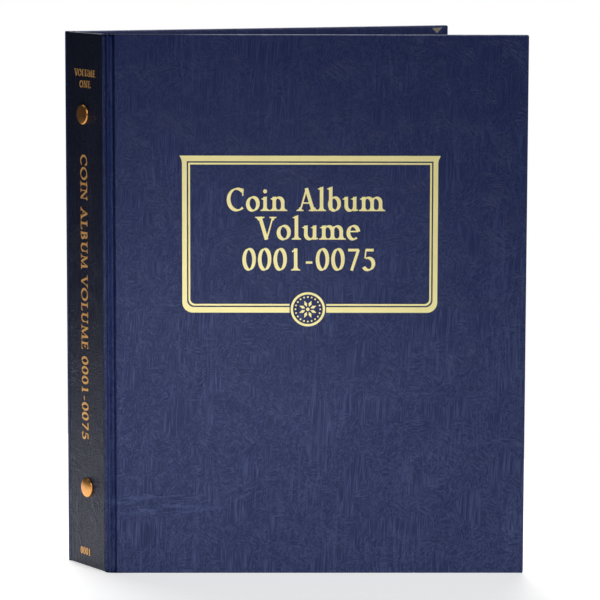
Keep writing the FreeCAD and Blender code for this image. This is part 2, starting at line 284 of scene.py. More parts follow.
# %% The start and the end of a geometry tree
def new_tree(name, inputs):
    """A geometry tree and its input node. Each further input is a name, a kind and a value."""
    tree = bpy.data.node_groups.new(name, "GeometryNodeTree")
    inputs = (("Geometry", "Geometry", None), *inputs, ("Finish", "Material", None))
    for label, kind, value in inputs:
        socket = tree.interface.new_socket(label, in_out="INPUT", socket_type="NodeSocket" + kind)
        if value is not None:
            socket.default_value = value
    tree.interface.new_socket("Geometry", in_out="OUTPUT", socket_type="NodeSocketGeometry")
    return tree, node(tree, "NodeGroupInput")


def end_tree(tree, start, geometry):
    """Ends a geometry tree: its instances are made real and its material is set."""
    real = node(tree, "GeometryNodeRealizeInstances", {0: geometry})
    given = {"Geometry": real.outputs[0], "Material": start.outputs["Finish"]}
    done = node(tree, "GeometryNodeSetMaterial", given)
    node(tree, "NodeGroupOutput", {0: done.outputs[0]})
    return tree


print("a tree starts with named inputs and ends in real geometry with its material")


# %% The relief of the cloth, as a geometry tree
RELIEF_DEPTH = 0.1  # millimetres


def relief_tree():
    """Sinks the cloth between its creases. Its inputs are the depth and the creases' sizes."""
    inputs = (
        ("Depth", "Float", RELIEF_DEPTH * MM),
        ("Crease spacing", "Float", 7.0),
        ("Crease length", "Float", 34.0),
    )
    tree, start = new_tree("leatherette relief", inputs)
    cloth = node(
        tree, "GeometryNodeInputNamedAttribute", {0: "cloth_mm"}, data_type="FLOAT_VECTOR"
    ).outputs[0]
    amount = node(
        tree, "GeometryNodeInputNamedAttribute", {0: "relief"}, data_type="FLOAT"
    ).outputs[0]
    size = node(
        tree,
        "ShaderNodeCombineXYZ",
        {0: start.outputs["Crease spacing"], 1: start.outputs["Crease length"], 2: 1.0},
    )
    unit = node(
        tree, "ShaderNodeVectorMath", {0: cloth, 1: size.outputs[0]}, operation="DIVIDE"
    ).outputs[0]
    upright = crease_lines(tree, unit, (1.0, 1.0), 0.05, 3.1)
    slanting = crease_lines(tree, unit, (2.2, 0.42), 0.035, 11.7)
    crossing = crease_lines(tree, unit, (5.5, 0.24), 0.04, 23.3)
    here = patches(tree, cloth, 42.0, 0.40, 0.62, 5.0)
    there = patches(tree, cloth, 36.0, 0.52, 0.66, 9.0)
    # the creases are strongest near the foot
    level = node(tree, "ShaderNodeSeparateXYZ", {0: cloth}).outputs[1]
    inputs = {"Value": level, 1: 60.0, 2: 240.0, 3: 1.0, 4: 0.3}
    foot = node(tree, "ShaderNodeMapRange", inputs).outputs[0]
    crease = highest(
        tree,
        times(tree, upright, here, foot),
        times(tree, slanting, there, foot, 0.7),
        times(tree, crossing, there, foot, foot, 0.8),
    )
    sink = times(tree, 1.0, crease, operation="SUBTRACT")
    depth = times(tree, sink, amount, start.outputs["Depth"], -1.0)
    normal = node(tree, "GeometryNodeInputNormal").outputs[0]
    offset = node(tree, "ShaderNodeVectorMath", {0: normal, "Scale": depth}, operation="SCALE")
    given = {"Geometry": start.outputs[0], "Offset": offset.outputs[0]}
    moved = node(tree, "GeometryNodeSetPosition", given)
    # the material reads the creases too
    given = {"Geometry": moved.outputs[0], "Name": "crease", "Value": times(tree, crease, amount)}
    kept = node(
        tree, "GeometryNodeStoreNamedAttribute", given, data_type="FLOAT", domain="POINT"
    )
    return end_tree(tree, start, kept.outputs[0])


RELIEF = relief_tree()
print("relief tree:", len(RELIEF.nodes), "nodes")


# %% [markdown]
# ### The leatherette's finish
#
# Vinyl has an index of refraction near 1.5 and a satin surface. The raised creases and grain are a
# little paler and smoother than the cloth between them: the paler colour is partly wear from rubbing
# and partly painted highlight. The spine's cloth is the same material, coloured darker as painted shade.


# %% The grain, drawn as strands
def strands(tree, cloth, angle, width, length, shift):
    """Fine ridges drawn out along one direction, in millimetres: 1 on a ridge, 0 beside it."""
    turned = node(
        tree, "ShaderNodeVectorRotate", {"Vector": cloth, "Angle": angle}, rotation_type="Z_AXIS"
    )
    return crease_lines(tree, turned.outputs[0], (width, length), 0.1, shift, detail=1.0)


def near(tree, cloth, run, rise, reach):
    """1 around a place of the cloth, falling to 0 at its reach in both directions."""
    off = node(
        tree, "ShaderNodeVectorMath", {0: cloth, 1: (run, rise, 0.0)}, operation="SUBTRACT"
    )
    inputs = {0: off.outputs[0], 1: (1 / reach[0], 1 / reach[1], 0.0)}
    flat = node(tree, "ShaderNodeVectorMath", inputs, operation="MULTIPLY")
    far = node(tree, "ShaderNodeVectorMath", {0: flat.outputs[0]}, operation="LENGTH")
    inputs = {"Value": far.outputs["Value"], 1: 0.45, 2: 1.0, 3: 1.0, 4: 0.0}
    return node(
        tree, "ShaderNodeMapRange", inputs, interpolation_type="SMOOTHSTEP"
    ).outputs[0]


print("grain tools: strands, and near for a pulled place")


# %% What the materials share
def new_material(name, constants):
    """A new material with its tree and its shader, whose constant inputs are set."""
    material = bpy.data.materials.new(name)
    material.use_nodes = True
    tree = material.node_tree
    shader = tree.nodes["Principled BSDF"]
    for socket, value in constants.items():
        shader.inputs[socket].default_value = value
    return material, tree, shader


def surface(tree, shader, factor, colours, height, depth_mm):
    """Colours a surface between two colours by a factor, and gives it the relief of a height."""
    inputs = {"Factor": factor, "A": colour(colours[0]), "B": colour(colours[1])}
    mix = node(tree, "ShaderNodeMix", inputs, data_type="RGBA")
    tree.links.new(mix.outputs["Result"], shader.inputs["Base Color"])
    inputs = {"Height": height, "Strength": 1.0, "Distance": depth_mm * MM}
    bump = node(tree, "ShaderNodeBump", inputs)
    tree.links.new(bump.outputs[0], shader.inputs["Normal"])


print("material tools: new_material and surface")


# %% Leatherette material
# angle, width and length of the ridges in mm, size of the patch in mm, its threshold, and a shift
GRAIN_PATCHES = (
    (0.75, 1.0, 4.4, 13.0, 0.50, 13.0),
    (-0.85, 1.0, 4.4, 12.0, 0.51, 29.0),
    (1.50, 1.0, 5.5, 11.0, 0.55, 47.0),
    (0.05, 1.2, 30.0, 14.0, 0.53, 61.0),
)
GRAIN_DEPTH = 0.09  # millimetres


def leatherette(name, base, pale_wear_and_highlight, roughness, pulls):
    """Vinyl-coated book cloth, roller-embossed: satin navy with a fine crushed grain."""
    material, tree, shader = new_material(name, {"IOR": 1.5, "Specular IOR Level": 0.37})
    cloth = node(tree, "ShaderNodeAttribute", attribute_name="cloth_mm").outputs["Vector"]
    crease = node(tree, "ShaderNodeAttribute", attribute_name="crease").outputs["Fac"]
    # the grain runs up the cloth, and in patches leans to either side or lies across
    grain = strands(tree, cloth, 0.1, 0.95, 2.3, 0.0)
    for angle, width, length, size, low, shift in GRAIN_PATCHES:
        here = patches(tree, cloth, size, low, low + 0.1, shift)
        other = strands(tree, cloth, angle, width, length, shift)
        mixed = node(tree, "ShaderNodeMix", {"Factor": here, 2: grain, 3: other}, data_type="FLOAT")
        grain = mixed.outputs[0]
    # hair creases, too thin for the mesh, run up the cloth in patches
    hair_lines = crease_lines(tree, cloth, (3.4, 46.0), 0.055, 41.0)
    hair = times(tree, hair_lines, patches(tree, cloth, 30.0, 0.46, 0.60, 17.0), 0.7)
    lines = highest(tree, hair, times(tree, crease, 0.35))
    # places where the cloth is pulled into creases: place, reach, angle, width and length
    for run, rise, reach, angle, width, length in pulls:
        pulled = strands(tree, cloth, angle, width, length, rise)
        lines = highest(tree, lines, times(tree, pulled, near(tree, cloth, run, rise, reach)))
    # the embossing is crispest near the foot and wears down towards the head; the paler colour of
    #     # its ridges, partly wear and partly painted highlight, fades with it
    level = node(tree, "ShaderNodeSeparateXYZ", {0: cloth}).outputs[1]
    inputs = {"Value": level, 1: 50.0, 2: 230.0, 3: 1.0, 4: 0.5}
    crisp = node(tree, "ShaderNodeMapRange", inputs).outputs[0]
    # the paler colour of raised grain and creases: partly wear, partly painted highlight
    wear_and_highlight = node(
        tree,
        "ShaderNodeMath",
        {0: times(tree, grain, crisp, 0.6), 1: times(tree, lines, crisp, 0.55)},
        operation="ADD",
    )
    wear_and_highlight.use_clamp = True
    inputs = {"Value": grain, 1: 0.0, 2: 1.0, 3: roughness, 4: roughness - 0.08}
    rough = node(tree, "ShaderNodeMapRange", inputs)
    tree.links.new(rough.outputs[0], shader.inputs["Roughness"])
    inputs = {"Vector": cloth, "Scale": 1.6, "Detail": 2.0}
    pores = node(tree, "ShaderNodeTexNoise", inputs).outputs[0]
    raised = times(tree, grain, times(tree, lines, 2.2), times(tree, pores, 3.0), operation="ADD")
    height = times(tree, raised, crisp)
    surface(tree, shader, wear_and_highlight.outputs[0], (base, pale_wear_and_highlight), height, GRAIN_DEPTH)
    return material


# opening the album creases the covers' cloth beside the joint, near the foot
COVER_PULLS = (
    (30.0, 33.0, (36.0, 8.0), 1.42, 2.2, 22.0),
    (70.0, 38.0, (16.0, 6.0), 1.1, 2.2, 20.0),
)
# the rivets pull the spine's cloth into short slanting creases
SPINE_PULLS = tuple(
    (8.5, rise, (7.0, 15.0), 0.55, 1.9, 15.0)
    for rise in (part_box("spine_rivets")[0].z / MM - 4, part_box("spine_rivets")[1].z / MM - 12)
)
# the second colour is the paler one of raised grain and creases: partly wear, partly painted highlight
CLOTH = leatherette("leatherette, navy", "#0e1e52", "#3f4c7a", 0.48, COVER_PULLS)
# the spine is the same cloth as the covers; its darker colours are painted shade
SHADED_SPINE_CLOTH = leatherette("leatherette, navy, painted shade", "#0b132c", "#2c3350", 0.38, SPINE_PULLS)
print("leatherette:", len(CLOTH.node_tree.nodes), "nodes")

# %% [markdown]
# ## The cloth of a cover and its joint
#
# On the real album one sheet of cloth runs from the spine over a flexible joint on to the cover,
# round its three edges, and is glued down inside. It bends only in the joint. So each cover's
# cloth is one closed piece here: its section runs from the spine's corner over the rounded crest
# and the groove, along the cover and round the fore edge to the inner side. The section is drawn
# with short Bezier curves, then repeated up the cover, drawn in by a small radius at head and
# foot.

# %% Sections
COVER_ROUND = 0.75  # radius of the covered edges
WINDOW_SINK = 0.25  # how far the cloth's inner side steps down inside the turned-in edges
TURN_IN = 14.0
CLOTH_STEP = 0.85  # spacing of the mesh across a cover
RISE_STEP = 0.88  # and up it
# A joint's crest and groove, along the cover and out of it, and how deep the channel by the spine
# lies below the straight line to the crest. The front cover stands wide open, so its joint is
# bent further and has the deeper groove.
JOINT_SHAPES = {
    "front": ((0.35, 1.45), (2.3, -0.35), 0.85),
    "back": ((-0.95, 1.4), (2.0, 0.3), 0.35),
}
JOINT_CLOTH = 0.4  # thickness of the cloth in the joint
JOINT_RELIEF, EDGE_RELIEF = 0.25, 0.3  # how much of the relief stays in the joint and round the edge


def bezier(a, b, c, d, count):
    """Points of a Bezier curve, without its last one."""
    a, b, c, d = (Vector(p) for p in (a, b, c, d))
    made = []
    for i in range(count):
        s = i / count
        r = 1 - s
        made.append(a * r**3 + b * (3 * r * r * s) + c * (3 * r * s * s) + d * s**3)
    return made


def steps(start, stop, step):
    """Evenly spaced values from start up to but without stop."""
    count = max(1, round(abs(stop - start) / step))
    return [start + (stop - start) * i / count for i in range(count)]


def cover_section(leaf, cloth_node, spine_side, joint_shape):
    """The closed outline of a cover's cloth: each point's place, relief and if it is inside."""
    (start, end), (inner, outer) = leaf.span(cloth_node)
    corner = Vector(leaf.local((SPINE_FACE * MM, spine_side * SPINE_HALF * MM, 0)))
    away = Vector(leaf.local((SPINE_FACE * MM, spine_side * (SPINE_HALF + 1) * MM, 0))) - corner
    crest, groove, depth = Vector(joint_shape[0]), Vector(joint_shape[1]), joint_shape[2]
    slope = crest - corner
    channel = corner + slope * 0.45 + Vector((slope.y, -slope.x)).normalized() * depth
    slope = slope.normalized() * 0.45
    shoulder = Vector((start + 0.5, outer))
    r = COVER_ROUND
    joint = bezier(corner, corner + away * 0.5, channel - slope, channel, 7)
    joint += bezier(channel, channel + slope, crest - Vector((0.42, 0)), crest, 8)
    joint += bezier(crest, crest + Vector((0.45, 0)), groove - Vector((1.1, 0)), groove, 12)
    joint += bezier(groove, groove + Vector((0.7, 0)), shoulder - Vector((0.75, 0)), shoulder, 12)
    outline = [(p, JOINT_RELIEF, False) for p in joint]
    lined = []
    for before, p, after in zip(joint, joint[1:], joint[2:]):
        if p.x < start - 0.8:
            run = (after - before).normalized()
            lined.append(p + Vector((run.y, -run.x)) * JOINT_CLOTH)
    outline += [(Vector((u, outer)), 1.0, False) for u in steps(shoulder.x, end - r, CLOTH_STEP)]
    k = 0.55 * r
    above, below = outer - r, inner + r
    edge = bezier((end - r, outer), (end - r + k, outer), (end, above + k), (end, above), 5)
    edge += bezier((end, above), (end, above), (end, below), (end, below), 3)
    edge += bezier((end, below), (end, below - k), (end - r + k, inner), (end - r, inner), 4)
    outline += [(p, EDGE_RELIEF, False) for p in edge]
    back = [end - r, end - 4, end - TURN_IN + 0.6, end - TURN_IN - 0.6]
    back += steps(end - TURN_IN - 6, start, 12.0)
    outline += [(Vector((u, inner)), 0.0, True) for u in back]
    outline.append((Vector((start, inner)), 0.0, False))
    outline += [(p, 0.0, False) for p in reversed(lined)]
    return outline, end


print("joint cloth", JOINT_CLOTH, "mm thick, mesh spacing", CLOTH_STEP, "mm")


# %% Running a section up the case
def rise(height, radius, step, rings=4):
    """Heights from foot to head, each with how far the outline is drawn in there."""
    curve = [math.pi / 2 * i / rings for i in range(rings)]
    foot = [(radius * (1 - math.cos(a)), radius * (1 - math.sin(a))) for a in curve]
    body = [(z, 0.0) for z in steps(radius, height - radius, step)]
    head = [(height - z, inset) for z, inset in reversed(foot)]
    return foot + body + [(height - radius, 0.0)] + head


def outline_normals(points, closed):
    """The direction into the outline at each of its points."""
    count = len(points)
    area = sum(a.x * b.y - b.x * a.y for a, b in zip(points, points[1:] + points[:1]))
    turn = 1 if area > 0 else -1
    normals = []
    for i, p in enumerate(points):
        before = points[i - 1] if closed or i else p
        after = points[(i + 1) % count] if closed or i < count - 1 else p
        run = (after - before).normalized()
        normals.append(Vector((-run.y, run.x)) * turn)
    return normals


def wrap(name, outline, world, levels, window, layer):
    """A closed piece of cloth from an outline that is repeated up the case."""
    flat = [p for p, _, _ in outline]
    normals = outline_normals(flat, closed=False)
    run, total = [], 0.0
    for i, p in enumerate(flat):
        total += (p - flat[i - 1]).length if i else 0.0
        run.append(total)
    points, cloth, relief = [], [], []
    for z, inset in levels:
        for i, (p, amount, is_inner) in enumerate(outline):
            spot = p + normals[i] * inset
            if is_inner and window(p.x, z):
                spot = spot + normals[i] * WINDOW_SINK
            points.append(world(spot.x, spot.y, z))
            cloth.append((run[i], z, layer))
            relief.append(amount if inset == 0 else amount * 0.2)
    count, rows = len(flat), len(levels)
    faces = grid(rows, count)
    faces.append(tuple(range(count)))
    faces.append(tuple(range((rows - 1) * count, rows * count)))
    made = piece(name, points, faces)
    store(made, "cloth_mm", "FLOAT_VECTOR", "vector", [v for spot in cloth for v in spot])
    store(made, "relief", "FLOAT", "value", relief)
    return made


def store(made, name, kind, field, values):
    """Keeps values on the points of a mesh."""
    attribute = made.data.attributes.new(name, kind, "POINT")
    attribute.data.foreach_set(field, values)


def never(u, z):
    """For a piece of cloth that has no window."""
    return False


CASE_LEVELS = rise(CASE_HEIGHT, COVER_ROUND, RISE_STEP)
print(len(CASE_LEVELS), "rows up the case")


# %% The cloth of both covers
for number, (side, spine_side) in enumerate((("front", -1), ("back", 1)), 1):
    leaf = leaves[side]
    outline, end = cover_section(leaf, f"{side}_cover_cloth", spine_side, JOINT_SHAPES[side])

    def window(u, z, end=end):
        return u < end - TURN_IN and TURN_IN < z < CASE_HEIGHT - TURN_IN

    made = wrap(
        f"{side}_leatherette", outline, leaf.world, CASE_LEVELS, window, number * 40.0
    )
    run_tree(made, RELIEF, {"Finish": CLOTH})
    start = leaf.world(outline[0][0].x + 0.1, 0, 0)
    stop = leaf.world(3.3, 0, 0)
    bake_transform(made)
    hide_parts(f"{side}_cover_cloth", f"{side}_joint_cloth")
    print(made.name, triangles(made), "triangles")

# %% [markdown]
# ## The spine
#
# The spine's cloth is a flat strip with its head and foot turned in. It is made with the same
# function from a plain outline, so that its grain and its rounded ends match the covers'.

# %% The cloth of the spine
def spine_world(u, t, z):
    """A point of the spine: u across it from the front, t into the album."""
    return Vector((t, u, z)) * MM


inner_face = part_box("spine_cloth")[1].x / MM
outer_side = steps(-SPINE_HALF, SPINE_HALF, CLOTH_STEP) + [SPINE_HALF]
outline = [(Vector((y, SPINE_FACE)), 1.0, False) for y in outer_side]
outline += [(Vector((y, inner_face)), 0.0, True) for y in steps(SPINE_HALF, -SPINE_HALF, 6.0)]
outline.append((Vector((-SPINE_HALF, inner_face)), 0.0, False))
spine = wrap("spine_leatherette", outline, spine_world, CASE_LEVELS, never, 7.0)
run_tree(spine, RELIEF, {"Finish": SHADED_SPINE_CLOTH})
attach(spine, "spine")
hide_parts("spine_cloth")
print(spine.name, triangles(spine), "triangles")

# %% [markdown]
# ## Letters drawn with a broad nib
#
# The gold is stamped with a hot die, so a letter is a thin plate of foil pressed flat into the
# cloth. No font is loaded. A roman letter comes from a broad pen, so each letter here is a few
# strokes, and the stroke's width follows its direction the way a slanted nib does. Overlapping
# strokes are joined into one outline by a constrained triangulation, then given a thickness.

# %% The nib
NIB_WIDE, NIB_THIN, NIB_ANGLE = 0.165, 0.06, math.radians(22)
STEM = 0.15
HAIR = 0.062
SERIF = 0.12
X_HEIGHT = 0.62


def stroke(path, width=None):
    """Quads along a path. Without a width, the width is that of the slanted nib."""
    path = [Vector(p) for p in path]
    sides = []
    for i, p in enumerate(path):
        run = (path[min(i + 1, len(path) - 1)] - path[max(i - 1, 0)]).normalized()
        slant = abs(math.sin(math.atan2(run.y, run.x) - NIB_ANGLE))
        thick = width or NIB_THIN + (NIB_WIDE - NIB_THIN) * slant
        half = Vector((-run.y, run.x)) * thick / 2
        sides.append((p + half, p - half))
    return [[a[0], b[0], b[1], a[1]] for a, b in zip(sides, sides[1:])]


def arc(cx, cy, rx, ry, start, stop, count=18):
    """Points of an elliptic arc, angles in degrees."""
    angles = [math.radians(start + (stop - start) * i / count) for i in range(count + 1)]
    return [(cx + rx * math.cos(a), cy + ry * math.sin(a)) for a in angles]


def foot(x, y=0.0, half=STEM / 2, up=1):
    """A bracketed serif under a stem at x, or over it if up is -1."""
    reach, rise_by = half + SERIF, 0.045
    bracket = [(-reach, 0), (reach, 0), (reach, rise_by), (half + 0.04, rise_by * 1.6), (half, 0.16)]
    bracket += [(-half, 0.16), (-half - 0.04, rise_by * 1.6), (-reach, rise_by)]
    return [[Vector((x + dx, y + up * dy)) for dx, dy in bracket]]


def flag(x, y, half=STEM / 2):
    """The slanted serif at the upper left of a small letter's stem."""
    tip, root = (x - half - 0.1, y - 0.09), (x - half, y - 0.14)
    return [[Vector(p) for p in (tip, (x + half, y + 0.02), (x + half, y - 0.16), root)]]


def stem(x, low, high, width=STEM):
    """An upright stroke."""
    return stroke([(x, low), (x, high)], width)


def across(start, stop, y, width=HAIR):
    """A level stroke."""
    return stroke([(start, y), (stop, y)], width)


print("nib", NIB_WIDE, "by", NIB_THIN, "of a letter's height")


# %% The letters and figures, one cap height tall
def capitals():
    """Roman capitals: advance width and strokes."""
    tall = stem(0.2, 0, 1)
    serifs = foot(0.2) + foot(0.2, 1, up=-1)
    high = foot(0.2, 1, up=-1)
    fine = 0.03  # half the width of a hairline under its serif
    bowls = stroke(arc(0.3, 0.745, 0.19, 0.225, 90, -90)) + stroke(arc(0.3, 0.275, 0.25, 0.245, 90, -90))
    return {
        "A": (0.80, stroke([(0.12, 0), (0.40, 1)], HAIR + 0.01) + stroke([(0.38, 1), (0.68, 0)], STEM)
              + across(0.2, 0.6, 0.35) + foot(0.12, half=fine) + foot(0.68)),
        "B": (0.68, tall + across(0.1, 0.32, 0.97) + across(0.1, 0.32, 0.03) + across(0.2, 0.32, 0.52)
              + bowls),
        "C": (0.78, stroke(arc(0.46, 0.5, 0.36, 0.47, 48, 312, 26)) + stem(0.7, 0.98, 0.66, HAIR)),
        "E": (0.62, tall + across(0.08, 0.56, 0.97) + across(0.2, 0.46, 0.52) + across(0.08, 0.6, 0.03)
              + stroke([(0.55, 1.0), (0.53, 0.84)], HAIR) + stroke([(0.59, 0), (0.6, 0.19)], HAIR)
              + stroke([(0.46, 0.62), (0.46, 0.42)], HAIR)),
        "I": (0.40, tall + serifs),
        "L": (0.60, tall + high + across(0.06, 0.56, 0.03) + stroke([(0.55, 0), (0.58, 0.22)], HAIR)),
        "M": (0.98, stroke([(0.14, 0), (0.2, 1)], HAIR) + stroke([(0.18, 1), (0.49, 0.04)], STEM)
              + stroke([(0.49, 0.04), (0.78, 1)], HAIR) + stroke([(0.79, 1), (0.84, 0)], STEM)
              + foot(0.14, half=fine) + foot(0.84)),
        "N": (0.84, stem(0.17, 0, 1, HAIR) + stroke([(0.16, 1), (0.68, 0)], STEM) + stem(0.68, 0, 1, HAIR)
              + foot(0.17, half=fine) + foot(0.68, 1, half=fine, up=-1) + foot(0.12, 1, half=fine, up=-1)),
        "O": (0.88, stroke(arc(0.44, 0.5, 0.36, 0.47, 0, 360, 36))),
        "U": (0.82, stem(0.2, 0.34, 1) + stroke(arc(0.43, 0.34, 0.235, 0.31, 180, 360))
              + stem(0.665, 0.34, 1, HAIR) + high + foot(0.665, 1, half=fine, up=-1)),
        "V": (0.76, stroke([(0.12, 1), (0.40, 0)], STEM) + stroke([(0.40, 0), (0.66, 1)], HAIR)
              + foot(0.12, 1, up=-1) + foot(0.66, 1, half=fine, up=-1)),
    }


def small_letters():
    """Small roman letters: advance width and strokes."""
    x = X_HEIGHT
    arch = stroke(arc(0.335, 0.36, 0.185, 0.225, 165, 0)) + stem(0.52, 0, 0.38) + foot(0.52)
    second = [[p + Vector((0.36, 0)) for p in shape] for shape in arch]
    short = stem(0.16, 0, x) + foot(0.16) + flag(0.16, x)
    dot = stroke(arc(0.17, 0.86, 0.045, 0.045, 0, 360, 10), 0.09)
    bowl = stroke(arc(0.32, 0.31, 0.2, 0.285, 0, 360, 30))
    return {
        "b": (0.60, stem(0.16, 0.05, 1.04) + flag(0.16, 1.06) + bowl),
        "e": (0.54, stroke(arc(0.28, 0.31, 0.205, 0.29, 8, 312, 26)) + across(0.1, 0.48, 0.36)),
        "i": (0.34, stem(0.17, 0, x) + foot(0.17) + flag(0.17, x) + dot),
        "l": (0.34, stem(0.17, 0, 1.04) + foot(0.17) + flag(0.17, 1.06)),
        "m": (1.04, short + arch + second),
        "n": (0.68, short + arch),
        "o": (0.58, stroke(arc(0.29, 0.31, 0.215, 0.29, 0, 360, 30))),
        "u": (0.68, stem(0.16, 0.22, x) + flag(0.16, x) + stroke(arc(0.34, 0.23, 0.18, 0.205, 180, 350))
              + stem(0.52, 0, x) + flag(0.52, x) + stroke([(0.5, 0.03), (0.66, 0.05)], HAIR)),
    }


def figures():
    """Figures and the hyphen: advance width and strokes."""
    six = stroke(arc(0.3, 0.29, 0.205, 0.265, 0, 360, 28)) + stroke(arc(0.6, 0.3, 0.5, 0.68, 98, 180, 12))
    nine = [[Vector((0.6, 1.0)) - p for p in shape] for shape in six]
    three = stroke(arc(0.27, 0.75, 0.18, 0.215, 150, -90, 14))
    three += stroke(arc(0.27, 0.28, 0.22, 0.25, 90, -150, 16))
    eight = stroke(arc(0.3, 0.745, 0.165, 0.205, 0, 360, 24))
    eight += stroke(arc(0.3, 0.275, 0.21, 0.245, 0, 360, 28))
    return {
        "0": (0.60, stroke(arc(0.3, 0.5, 0.21, 0.46, 0, 360, 32))),
        "1": (0.60, stem(0.3, 0, 0.99) + foot(0.3) + stroke([(0.15, 0.84), (0.3, 0.95)], HAIR)),
        "2": (0.60, stroke(arc(0.29, 0.73, 0.2, 0.235, 165, -20, 14) + [(0.34, 0.4), (0.09, 0.06)])
              + across(0.07, 0.53, 0.06, 0.12)),
        "3": (0.60, three),
        "4": (0.60, stroke([(0.42, 0.98), (0.07, 0.34)], HAIR) + across(0.05, 0.56, 0.33, 0.09)
              + stem(0.42, 0, 0.98) + foot(0.42)),
        "5": (0.60, across(0.16, 0.5, 0.92, 0.12) + stroke([(0.17, 0.93), (0.13, 0.55)], HAIR)
              + stroke(arc(0.27, 0.3, 0.22, 0.27, 118, -150, 20))),
        "6": (0.60, six),
        "7": (0.60, across(0.07, 0.53, 0.92, 0.12) + stroke([(0.51, 0.93), (0.22, 0)], 0.12)),
        "8": (0.60, eight),
        "9": (0.60, nine),
        "-": (0.42, across(0.07, 0.35, 0.36, 0.1)),
        " ": (0.34, []),
    }


GLYPHS = {**capitals(), **small_letters(), **figures()}


def text_width(text, height, spacing):
    """Width of a line of text in millimetres."""
    return sum(GLYPHS[c][0] + spacing for c in text) * height - spacing * height


def write(text, centre, base, height, width=None, spacing=0.06):
    """The shapes of one line of text about a centre. A width stretches the line to fit."""
    natural = text_width(text, height, spacing)
    stretch = width / natural if width else 1.0
    x = centre - natural * stretch / 2
    shapes = []
    for c in text:
        advance, strokes = GLYPHS[c]
        for shape in strokes:
            shapes.append([Vector((x + p.x * height * stretch, base + p.y * height)) for p in shape])
        x += (advance + spacing) * height * stretch
    return shapes


print(len(GLYPHS), "letters and figures")


# %% Foil from shapes
def foil(name, shapes, where, material, body, thickness=0.05, sink=0.15):
    """One flat plate from overlapping shapes on a surface. sink is how far below it it starts."""
    corners, faces = [], []
    for shape in shapes:
        # the triangulation takes a shape's inside to be on the left of its outline
        if sum(a[0] * b[1] - b[0] * a[1] for a, b in zip(shape, shape[1:] + shape[:1])) < 0:
            shape = shape[::-1]
        faces.append(list(range(len(corners), len(corners) + len(shape))))
        corners += [Vector((p[0], p[1])) for p in shape]
    flat, _, cut, _, _, sources = delaunay_2d_cdt(corners, [], faces, 1, 0.0005)
    work = bmesh.new()
    bottom = [work.verts.new((p.x, p.y, -sink)) for p in flat]
    for face, covering in zip(cut, sources):
        if covering:
            work.faces.new([bottom[i] for i in face])
    loose = [v for v in work.verts if not v.link_faces]
    bmesh.ops.delete(work, geom=loose, context="VERTS")
    raised = bmesh.ops.extrude_face_region(work, geom=list(work.faces))
    for item in raised["geom"]:
        if isinstance(item, bmesh.types.BMVert):
            item.co.z = thickness
    bmesh.ops.recalc_face_normals(work, faces=work.faces)
    mesh = bpy.data.meshes.new(name)
    work.to_mesh(mesh)
    work.free()
    mesh.transform(where)
    mesh.materials.append(material)
    made = link(name, mesh)
    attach(made, body)
    print(name, triangles(made), "triangles")


print("foil() stamps shapes on a surface")


# %% [markdown]
# ### Gold foil
#
# Matt stamping foil is fine brass flake in a yellow lacquer. Pressed on an embossed cloth it is
# bright from all sides and not a mirror, so it is only partly metallic, fairly rough, and faintly
# mottled by the grain below.


# %% Metal materials
def metal(name, base, roughness, mottle_mm, depth_mm, stretch=(1.0, 1.0, 1.0), metallic=1.0):
    """A metal with a mottled or brushed surface. mottle_mm is the size of its marks."""
    constants = {"Base Color": colour(base), "Metallic": metallic}
    material, tree, shader = new_material(name, constants)
    spot = node(tree, "ShaderNodeTexCoord").outputs["Object"]
    size = [s / (mottle_mm * MM) for s in stretch]
    scaled = node(tree, "ShaderNodeMapping", {"Vector": spot, "Scale": size}).outputs[0]
    inputs = {"Vector": scaled, "Scale": 1.0, "Detail": 3.0}
    marks = node(tree, "ShaderNodeTexNoise", inputs).outputs[0]
    inputs = {"Value": marks, 1: 0.3, 2: 0.7, 3: roughness - 0.08, 4: roughness + 0.08}
    rough = node(tree, "ShaderNodeMapRange", inputs)
    tree.links.new(rough.outputs[0], shader.inputs["Roughness"])
    inputs = {"Height": marks, "Strength": 1.0, "Distance": depth_mm * MM}
    bump = node(tree, "ShaderNodeBump", inputs)
    tree.links.new(bump.outputs[0], shader.inputs["Normal"])
    return material


GOLD = metal("stamping foil, gold", "#fff3ac", 0.5, 0.9, 0.03, metallic=0.15)
# the spine's foil is the same gold foil, coloured more orange and darker as painted shade and warm reflection
GOLD_FOIL_PAINTED_SHADE = metal("stamping foil, gold, painted warm shade", "#ffc274", 0.4, 0.9, 0.03, metallic=0.3)
BRASS = metal("brass, lacquered", "#e6a45e", 0.34, 2.5, 0.01)
# rolled strip: the marks run up the part
STEEL = metal("zinc-plated steel", "#b9bcc0", 0.38, 0.6, 0.01, (1.0, 1.0, 0.05))
POST_METAL = metal("aluminium, turned", "#d6d7da", 0.3, 0.4, 0.008, (1.0, 0.3, 1.0))
print("metals:", ", ".join(m.name for m in (GOLD, GOLD_FOIL_PAINTED_SHADE, BRASS, STEEL, POST_METAL)))

# %% [markdown]
# ## The stamped panel on the front cover
#
# A double rule frames the title. The outer rule is heavy, with a small hook at both upper corners
# and round lower corners, and a fine rule follows it inside. A round coin badge interrupts the
# lower side. Lengths are in millimetres along the cover from its hinge line, and up from the foot.

# %% The frame of the panel
front = leaves["front"]
FRONT_FACE = front.span("front_cover_cloth")[1][1]
front_place = place(front.world(0, FRONT_FACE, 0), front.along, UP, front.out)
PANEL_LEFT, PANEL_RIGHT, PANEL_TOP, PANEL_FOOT = 34.5, 152.7, 196.3, 123.3
PANEL_MIDDLE = (PANEL_LEFT + PANEL_RIGHT) / 2
RULE_FLAT, RULE_UPRIGHT, RULE_GAP, FINE_RULE = 2.6, 2.2, 0.65, 0.85
BADGE_RADIUS = 8.0
BADGE_MIDDLE = Vector((PANEL_MIDDLE - 0.9, 124.9))


